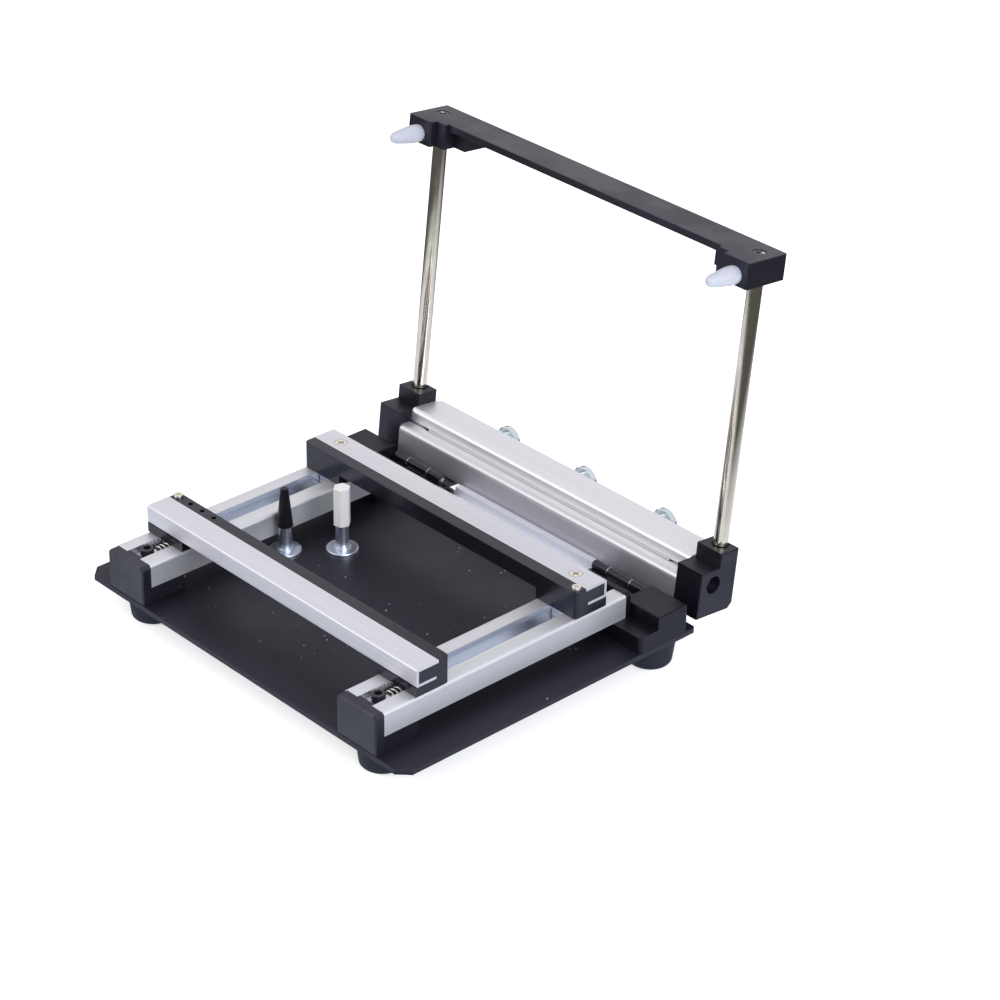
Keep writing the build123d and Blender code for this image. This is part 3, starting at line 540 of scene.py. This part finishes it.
# %% [markdown]
# ## Plated and blackened steel
#
# Chrome, zinc and nickel differ in tint and in how sharp their reflections are. They need
# little more than that, because what they show is mostly the studio around them. A slow noise
# keeps the reflection from being perfectly even.

# %% Plated steel
def plated(name, color, rough):
    finish = Finish(name, color, rough, metallic=1.0)
    skin = finish.effect("grain", Grain=9000.0, Cloud=200.0)
    finish.tint(skin["Cloud"], tuple(c * 0.88 for c in color), 0.6)
    finish.vary("Roughness", skin["Cloud"], rough - 0.03, rough + 0.05)
    finish.bump(skin["Height"], 0.002 * MM)
    return finish.material


def blackened(name, color, rough, specular=0.5):
    finish = Finish(name, color, rough, specular=specular)
    finish.gloss((0.85, 0.82, 1.0))
    skin = finish.effect("grain", Grain=8000.0, Cloud=70.0)
    finish.tint(skin["Cloud"], tuple(c * 1.5 for c in color), 0.5)
    finish.vary("Roughness", skin["Cloud"], rough - 0.03, rough + 0.04)
    return finish.material


spring_wire = plated("spring wire", (0.8, 0.73, 0.66), 0.2)
bright_zinc = plated("bright zinc", (0.7, 0.76, 0.79), 0.2)
cut_steel = plated("cut steel", (0.42, 0.42, 0.45), 0.3)
# Painted highlight: the side screws' thread ridge is painted brighter than the screw itself.
painted_bright_thread_steel = plated("thread steel painted bright", (0.55, 0.55, 0.58), 0.28)
dress("pin_steel", plated("rod plating", (0.82, 0.74, 0.62), 0.1))
dress("support_chrome", plated("support plating", (0.66, 0.7, 0.79), 0.33))
dress("magnet_nickel", plated("magnet nickel", (0.66, 0.65, 0.62), 0.25))
dress("zinc", bright_zinc)
dress("spring_brass", spring_wire)
dress("stop_zinc", plated("stop zinc", (0.88, 0.88, 0.9), 0.42))
dress("screw_nickel", plated("screw nickel", (0.7, 0.68, 0.62), 0.24))
dress("hinge_black", blackened("hinge black", (0.004, 0.004, 0.006), 0.27, specular=0.6))
dress("screw_black", blackened("black oxide", (0.011, 0.011, 0.013), 0.24))
# Painted glints: the side screws wear lighter grey metal in place of their black oxide, so their heads deep in the
# dark pockets catch light.
dress_node("side_screws", plated("screw steel painted lighter", (0.3, 0.3, 0.33), 0.34))


# %% [markdown]
# ### Screws with a recess of another tone
#
# The cross recess of a plated screw is painted darker and more yellow than the top around it, and
# the edge of the head is painted darker still: painted shade in the recess and in the gap round the
# head. On the black screws of the crossbar bright metal is painted in the recess, a painted glint.
# A mask around the screw's own axis tells the places apart. The two screws of a pair stand at the
# same distance on both sides, so one number places both.

# %% Screws with a recess of another tone
def recess_group():
    inputs = [
        ("Vector", "NodeSocketVector", None),
        ("Side", "NodeSocketFloat", 0.0),
        ("Back", "NodeSocketFloat", 0.0),
        ("Reach", "NodeSocketFloat", 0.001),
    ]
    tree, ends, out = new_group("recess", inputs, ["Mask"])
    place = split(tree, ends.outputs["Vector"])
    outward = math_node(tree, "ABSOLUTE", place["X"])
    off_side = math_node(tree, "SUBTRACT", outward, ends.outputs["Side"])
    off_back = math_node(tree, "SUBTRACT", place["Y"], ends.outputs["Back"])
    square = math_node(tree, "ADD", math_node(tree, "MULTIPLY", off_side, off_side),
                       math_node(tree, "MULTIPLY", off_back, off_back))
    far = math_node(tree, "DIVIDE", math_node(tree, "SQRT", square), ends.outputs["Reach"])
    tree.links.new(steps(tree, far, 1.15, 0.85), out.inputs["Mask"])
    return tree


GROUPS["recess"] = recess_group()


def recessed_screw(node, reach):
    """Plated metal on one node's screws: a yellow recess and a darker edge, both painted shade, and a pale top."""
    low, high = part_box(node)
    half_head = (high[1] - low[1]) / 2
    side = max(abs(low[0]), abs(high[0])) - half_head
    back = (low[1] + high[1]) / 2
    finish = Finish("nickel of " + node, (0.48, 0.47, 0.44), 0.3, metallic=1.0)
    # Painted shade: the head's edge keeps the darker base colour, outside the pale top.
    top = finish.effect("recess", Side=side, Back=back, Reach=half_head * 0.82)["Mask"]
    finish.tint(top, (0.86, 0.84, 0.8))
    # Painted shade: the recess is painted darker and more yellow.
    recess = finish.effect("recess", Side=side, Back=back, Reach=reach)["Mask"]
    finish.tint(recess, (0.72, 0.62, 0.46), 0.85)
    finish.vary("Roughness", recess, 0.18, 0.35)
    dress_node(node, finish.material)
    print(node, "has its recess at", round(side / MM, 2), "mm from the middle")


recessed_screw("rear_clamp_screws", 0.7 * MM)
recessed_screw("front_strip_screw", 0.5 * MM)
recessed_screw("rear_strip_screw", 0.5 * MM)


def screws_with_painted_glint():
    """The black screws in the crossbar, with bright metal painted in the recess as a painted glint.

    They lean with the gate, so their heads lie behind the middle of their box.
    """
    low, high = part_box("crossbar_screws")
    finish = Finish("black oxide with painted glint", (0.011, 0.011, 0.013), 0.24)
    half_head = 1.05 * MM
    head_share = 0.6
    back = low[1] + (high[1] - low[1]) * head_share
    mask = finish.effect("recess", Side=high[0] - half_head, Back=back, Reach=0.5 * MM)["Mask"]
    # Painted glint: bright bare metal is painted in the recess.
    finish.tint(mask, (0.75, 0.75, 0.77))
    finish.vary("Metallic", mask, 0.0, 1.0)
    dress_node("crossbar_screws", finish.material)


screws_with_painted_glint()


# %% [markdown]
# ## Soft and pale plastics
#
# The bumpers are milky silicone and the hexagonal tip is natural nylon. Light goes a little way
# into both, which softens their shadows. Subsurface scattering does that, with a reach of about
# a millimetre. The other tip is black, and takes the recipe of the moulded plastic.

# %% Pale plastics
def pale_plastic(name, color, rough, reach):
    finish = Finish(name, color, rough)
    finish.shader.inputs["Subsurface Weight"].default_value = 0.35
    finish.shader.inputs["Subsurface Scale"].default_value = reach
    skin = finish.effect("grain", Grain=2600.0, Cloud=180.0)
    finish.tint(skin["Cloud"], tuple(c * 0.93 for c in color), 0.6)
    finish.vary("Roughness", skin["Cloud"], rough - 0.06, rough + 0.08)
    finish.bump(skin["Height"], 0.01 * MM)
    return finish.material


tip_black = black_plastic(
    "tip plastic", (0.004, 0.004, 0.005), 0.34,
    grain=5000.0, relief=0.01 * MM, specular=0.32)
dress("bumper_white", pale_plastic("bumper silicone", (0.52, 0.54, 0.61), 0.42, 1.2 * MM))
dress("tip_white", pale_plastic("tip nylon", (0.74, 0.735, 0.71), 0.4, 0.8 * MM))
dress("tip_black", tip_black)


# %% [markdown]
# ## Pieces that the solid model leaves plain
#
# Springs, screw threads and the thin rings in the hinges are small, but light catches on them
# first. Each is a line of points turned or wound round an axis, so two helpers make them all: one
# winds a wire into a helix, and one turns an outline on a lathe.

# %% Helpers for small round pieces
def add_object(name, data):
    """Put new data in the scene as an object."""
    thing = bpy.data.objects.new(name, data)
    bpy.context.scene.collection.objects.link(thing)
    return thing


def make_piece(name, points, faces, material, body):
    """A smooth mesh object that rides on one body of the frame."""
    mesh = bpy.data.meshes.new(name)
    mesh.from_pydata(points, [], faces)
    shape = bmesh.new()
    shape.from_mesh(mesh)
    bmesh.ops.recalc_face_normals(shape, faces=shape.faces)
    for face in shape.faces:
        face.smooth = True
    shape.to_mesh(mesh)
    shape.free()
    mesh.materials.append(material)
    thing = add_object(name, mesh)
    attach(thing, body)
    return thing


def join_rings(rows, loop=False):
    """Join rings of points into a closed surface, with caps on its ends or bent into a loop."""
    count = len(rows[0])
    points = [point for row in rows for point in row]
    faces = []
    for row in range(len(rows) if loop else len(rows) - 1):
        following = (row + 1) % len(rows)
        for step in range(count):
            beside = (step + 1) % count
            faces.append((row * count + step, row * count + beside,
                          following * count + beside, following * count + step))
    if not loop:
        faces.append(tuple(range(count)))
        faces.append(tuple(range(len(points) - count, len(points))))
    return points, faces


def axes_around(axis):
    """Two directions square to an axis and to each other."""
    axis = Vector(axis).normalized()
    first = axis.orthogonal().normalized()
    return axis, first, axis.cross(first)


def wind(start, axis, rises, radius, wire, sides, steps_per_turn):
    """A wire wound round an axis. rises gives how far the wire climbs in each turn."""
    axis, first, second = axes_around(axis)
    rows = []
    climb = 0.0
    total = len(rises) * steps_per_turn
    for step in range(total + 1):
        angle = 2 * math.pi * step / steps_per_turn
        outward = math.cos(angle) * first + math.sin(angle) * second
        centre = start + climb * axis + radius * outward
        row = []
        for side in range(sides):
            turn = 2 * math.pi * side / sides
            row.append(centre + wire * (math.cos(turn) * outward + math.sin(turn) * axis))
        rows.append(row)
        climb += rises[min(step // steps_per_turn, len(rises) - 1)] / steps_per_turn
    return join_rings(rows)


def lathe(start, axis, outline):
    """A closed ring, turned from an outline of (place along the axis, radius)."""
    axis, first, second = axes_around(axis)
    sides = 40
    rows = []
    for step in range(sides):
        angle = 2 * math.pi * step / sides
        outward = math.cos(angle) * first + math.sin(angle) * second
        rows.append([start + along * axis + radius * outward for along, radius in outline])
    return join_rings(rows, loop=True)


# %% [markdown]
# ### Springs
#
# The two springs sit in the rail slots between a stop and the front clamp bar, and a real one has
# its last turn at each end wound flat. When the bar is pushed forward, towards the stops, they get
# shorter; here each one is wound at its resting length and rides on the stops.

# %% Springs
def make_spring(side):
    node = "spring_" + side
    low, high = (Vector(corner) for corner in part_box(node))
    wire = 0.18 * MM
    flat = 2.1 * wire
    open_turns = 4
    rise = (high.y - low.y - 2 * wire - 2 * flat) / open_turns
    rises = [flat] + [rise] * open_turns + [flat]
    middle = (low + high) / 2
    start = Vector((middle.x, low.y + wire, middle.z))
    radius = (high.x - low.x) / 2 - wire
    points, faces = wind(start, (0, 1, 0), rises, radius, wire, sides=10, steps_per_turn=28)
    spring = make_piece("wound_spring_" + side, points, faces, spring_wire, "front_stops")
    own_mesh(spring)
    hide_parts(node)
    print(node, "is", round((high.y - low.y) / MM, 2), "mm long at rest")


for side in ("left", "right"):
    make_spring(side)


# %% [markdown]
# ### Screw threads
#
# A thread is a ridge that climbs round the shank. On the side screws it shows in the slit of the
# gate, as a row of bright ticks on black, and on the thumb screws just behind the gate. The ridge
# is a thin wire wound on the plain shank of the solid model. On the side screws the ridge is painted
# brighter than the screw, a painted highlight on the crests. The side screws' axis runs through
# the middle of their box, and a thumb screw's axis through the point on which its joint turns.

# %% Screw threads
SHANK = 0.75 * MM
SIDE_START = 38.9 * MM
THUMB_AHEAD = 2.65 * MM


def thread_ridge(name, start, axis, turns, pitch, ridge, material, body):
    points, faces = wind(start, axis, [pitch] * turns, SHANK, ridge, sides=6, steps_per_turn=16)
    make_piece(name, points, faces, material, body)
    print(name, "climbs", round(turns * pitch / MM, 2), "mm")


def side_threads():
    """The threads start in the slit and run outward."""
    low, high = (Vector(corner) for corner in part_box("side_screws"))
    middle = (low + high) / 2
    for name, side in (("left", -1), ("right", 1)):
        start = Vector((side * SIDE_START, middle.y, middle.z))
        thread_ridge("side_thread_" + name, start, side * across, turns=5, pitch=0.7 * MM,
                     ridge=0.11 * MM, material=painted_bright_thread_steel, body="gate")


def thumb_threads():
    """The threads start a little in front of the point on which the screw's joint turns."""
    for name in ("thumb_left", "thumb_middle", "thumb_right"):
        start = Vector(joints[name + "_turn"]["pos_m"]) - THUMB_AHEAD * gate_back
        thread_ridge("thread_of_" + name, start, gate_back, turns=2, pitch=0.35 * MM,
                     ridge=0.09 * MM, material=bright_zinc, body=name)


side_threads()
thumb_threads()


# %% [markdown]
# ### Rings in the hinges
#
# Where two knuckles meet, the black finish stops at the cut edge and bare metal shows as a thin
# bright ring. Each ring is a small rounded band over the cut between the knuckles.

# %% Rings in the hinges
BARREL = 1.1 * MM
KNUCKLE_CUT = 3.25 * MM


def knuckle_ring(name, x):
    """A band a little wider than the cut, with its crown just above the barrel."""
    half = 0.09 * MM
    crown = 0.04 * MM
    inside = BARREL - 0.25 * MM
    rising = [(-half, inside), (-half, BARREL), (-crown, BARREL + crown)]
    outline = rising + [(-along, radius) for along, radius in reversed(rising)]
    points, faces = lathe(Vector((x, hinge_point.y, hinge_point.z)), across, outline)
    make_piece(name, points, faces, cut_steel, "base")


for side in ("left", "right"):
    low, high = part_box("hinge_pin_" + side)
    middle = (low[0] + high[0]) / 2
    for place, offset in (("inner", -KNUCKLE_CUT), ("outer", KNUCKLE_CUT)):
        knuckle_ring("knuckle_ring_" + side + "_" + place, middle + offset)
print("four rings between the knuckles")


# %% [markdown]
# ## The studio
#
# The object stands on a pale floor in front of a white background. Both look white to the camera,
# but the light that they send to the object stays at a plain level, so that its colours come out
# as they are written. Metal shows what is around it, so the world isn't even: it is dark at the
# level of the table and bright above. A Light Path node tells the camera's rays from the others.

# %% World
def mix_shaders(tree, factor, off, on):
    """One shader where the factor is 0 and another where it is 1. It returns the output socket."""
    node = tree.nodes.new("ShaderNodeMixShader")
    tree.links.new(factor, node.inputs["Fac"])
    tree.links.new(off, node.inputs[1])
    tree.links.new(on, node.inputs[2])
    return node.outputs[0]


def two_colors(tree, value, start, first, end, last):
    """The first colour up to the start, the last one from the end on, and a blend between."""
    node = tree.nodes.new("ShaderNodeValToRGB")
    low, high = node.color_ramp.elements
    low.position = start
    low.color = (*first, 1.0)
    high.position = end
    high.color = (*last, 1.0)
    tree.links.new(value, node.inputs["Fac"])
    return node.outputs["Color"]


DARK_BELOW = 0.05
BRIGHT_ABOVE = 0.26


def studio_world():
    """The world's colour follows the upward part of the direction, which is 0 at table level."""
    world = bpy.data.worlds.new("studio")
    bpy.context.scene.world = world
    world.use_nodes = True
    tree = world.node_tree
    tree.nodes.clear()
    seen = tree.nodes.new("ShaderNodeBackground")
    seen.inputs["Color"].default_value = (1.0, 1.0, 1.0, 1.0)
    direction = split(tree, tree.nodes.new("ShaderNodeTexCoord").outputs["Generated"])
    sky = two_colors(
        tree, direction["Z"], DARK_BELOW, (0.1, 0.1, 0.11), BRIGHT_ABOVE, (0.91, 0.91, 0.94))
    lit = tree.nodes.new("ShaderNodeBackground")
    tree.links.new(sky, lit.inputs["Color"])
    path = tree.nodes.new("ShaderNodeLightPath")
    shown = mix_shaders(tree, path.outputs["Is Camera Ray"], lit.outputs[0], seen.outputs[0])
    out = tree.nodes.new("ShaderNodeOutputWorld")
    tree.links.new(shown, out.inputs["Surface"])
    print("the world is bright above", round(math.degrees(math.asin(BRIGHT_ABOVE)), 1), "degrees")


studio_world()


# %% [markdown]
# ### The floor
#
# The floor catches the object's shadow, so it is a plain matt surface with some light of its own
# added for the camera. In reflections it is a sheet of pale paper that ends not far from the
# object and reaches further to the back right, which gives the upright metal its light and dark
# bands. The paper is a fade over the distance from a point near the object, and that distance
# is cut for places at the back right.

# %% Floor
PAPER_MIDDLE = (-0.02, -0.035, 0.0)
BACK_RIGHT = (0.5, 0.87, 0.0)
LONGER_FROM = 0.05
LONGER_BY = 0.5
PAPER_REACH = 0.12
PAPER_END = 0.165


def paper_distance(tree):
    """How far a point of the floor counts as being from the paper's middle, in metres."""
    place = tree.nodes.new("ShaderNodeTexCoord").outputs["Object"]
    far = tree.nodes.new("ShaderNodeVectorMath")
    far.operation = "DISTANCE"
    far.inputs[1].default_value = PAPER_MIDDLE
    tree.links.new(place, far.inputs[0])
    toward = tree.nodes.new("ShaderNodeVectorMath")
    toward.operation = "DOT_PRODUCT"
    toward.inputs[1].default_value = BACK_RIGHT
    tree.links.new(place, toward.inputs[0])
    past = math_node(tree, "SUBTRACT", toward.outputs["Value"], LONGER_FROM)
    deeper = math_node(tree, "MAXIMUM", past, 0.0)
    cut = math_node(tree, "MULTIPLY", deeper, LONGER_BY)
    return math_node(tree, "SUBTRACT", far.outputs["Value"], cut)


def floor_material():
    """White to the camera. In reflections only the paper near the object is bright."""
    material = bpy.data.materials.new("floor white")
    material.use_nodes = True
    tree = material.node_tree
    matt = tree.nodes["Principled BSDF"]
    matt.inputs["Base Color"].default_value = (0.8, 0.8, 0.8, 1.0)
    matt.inputs["Roughness"].default_value = 1.0
    matt.inputs["Specular IOR Level"].default_value = 0.0
    glow = tree.nodes.new("ShaderNodeEmission")
    glow.inputs["Strength"].default_value = 0.56
    whiter = tree.nodes.new("ShaderNodeAddShader")
    tree.links.new(matt.outputs[0], whiter.inputs[0])
    tree.links.new(glow.outputs[0], whiter.inputs[1])
    distance = paper_distance(tree)
    fade = two_colors(
        tree, distance, PAPER_REACH, (0.84, 0.89, 1.0), PAPER_END, (0.1, 0.1, 0.1))
    paper = tree.nodes.new("ShaderNodeEmission")
    tree.links.new(fade, paper.inputs["Color"])
    path = tree.nodes.new("ShaderNodeLightPath")
    seen = mix_shaders(tree, path.outputs["Is Camera Ray"], matt.outputs[0], whiter.outputs[0])
    shown = mix_shaders(tree, path.outputs["Is Glossy Ray"], seen, paper.outputs[0])
    tree.links.new(shown, tree.nodes["Material Output"].inputs["Surface"])
    return material


def floor():
    half = 12.0
    corners = [(-half, -half, 0.0), (half, -half, 0.0), (half, half, 0.0), (-half, half, 0.0)]
    mesh = bpy.data.meshes.new("floor")
    mesh.from_pydata(corners, [], [(0, 1, 2, 3)])
    mesh.materials.append(floor_material())
    thing = add_object("floor", mesh)
    print("the floor is", 2 * half, "m wide")


floor()


# %% [markdown]
# ### The lamps
#
# Two large soft lamps give the shapes their light and dark sides. The stronger, slightly blue one
# stands on the right, and a weaker one fills in from the front left. Both are small in power,
# because the object is only ten centimetres wide.

# %% Lamps
LAMP_WIDTH = 0.4
LAMP_HEIGHT = 0.3
LAMP_AIM = Vector((0.0, 0.0, 0.03))


def soft_lamp(name, place, watts, color=(1.0, 1.0, 1.0)):
    light = bpy.data.lights.new(name, "AREA")
    light.shape = "RECTANGLE"
    light.size = LAMP_WIDTH
    light.size_y = LAMP_HEIGHT
    light.energy = watts
    light.color = color
    lamp = add_object(name, light)
    lamp.location = place
    lamp.rotation_euler = (LAMP_AIM - Vector(place)).to_track_quat("-Z", "Y").to_euler()
    print(name, "shines with", watts, "W")


soft_lamp("right light", (0.5, -0.1, 0.22), 1.9, color=(0.86, 0.91, 1.0))
soft_lamp("front light", (-0.25, -0.5, 0.3), 0.95)


# %% [markdown]
# ## The camera
#
# The photograph was taken with a long lens from the front right, about thirty degrees above the
# table. Azimuth, elevation and roll are turned into three directions, and those into the
# camera's rotation, which is exact where aiming at a target would only come close.

# %% Camera
AZIMUTH = math.radians(46.56)
ELEVATION = math.radians(29.71)
ROLL = math.radians(1.08)
CAMERA_PLACE = Vector((0.4134, -0.37046, 0.34375))
LENS_MM = 111.8
SENSOR_MM = 36.0


def set_camera():
    data = bpy.data.cameras.new("camera")
    data.lens = LENS_MM
    data.sensor_width = SENSOR_MM
    data.clip_start = 0.01
    camera = add_object("camera", data)
    level = math.cos(ELEVATION)
    back = Vector((math.sin(AZIMUTH) * level, -math.cos(AZIMUTH) * level, math.sin(ELEVATION)))
    right = Vector((math.cos(AZIMUTH), math.sin(AZIMUTH), 0.0))
    up = back.cross(right)
    turned_right = math.cos(ROLL) * right + math.sin(ROLL) * up
    turned_up = math.cos(ROLL) * up - math.sin(ROLL) * right
    axes = Matrix((turned_right, turned_up, back)).transposed().to_4x4()
    camera.matrix_world = Matrix.Translation(CAMERA_PLACE) @ axes
    bpy.context.scene.camera = camera
    print("the camera looks from", tuple(round(value, 3) for value in CAMERA_PLACE))


set_camera()
bpy.context.scene.view_settings.view_transform = "Standard"
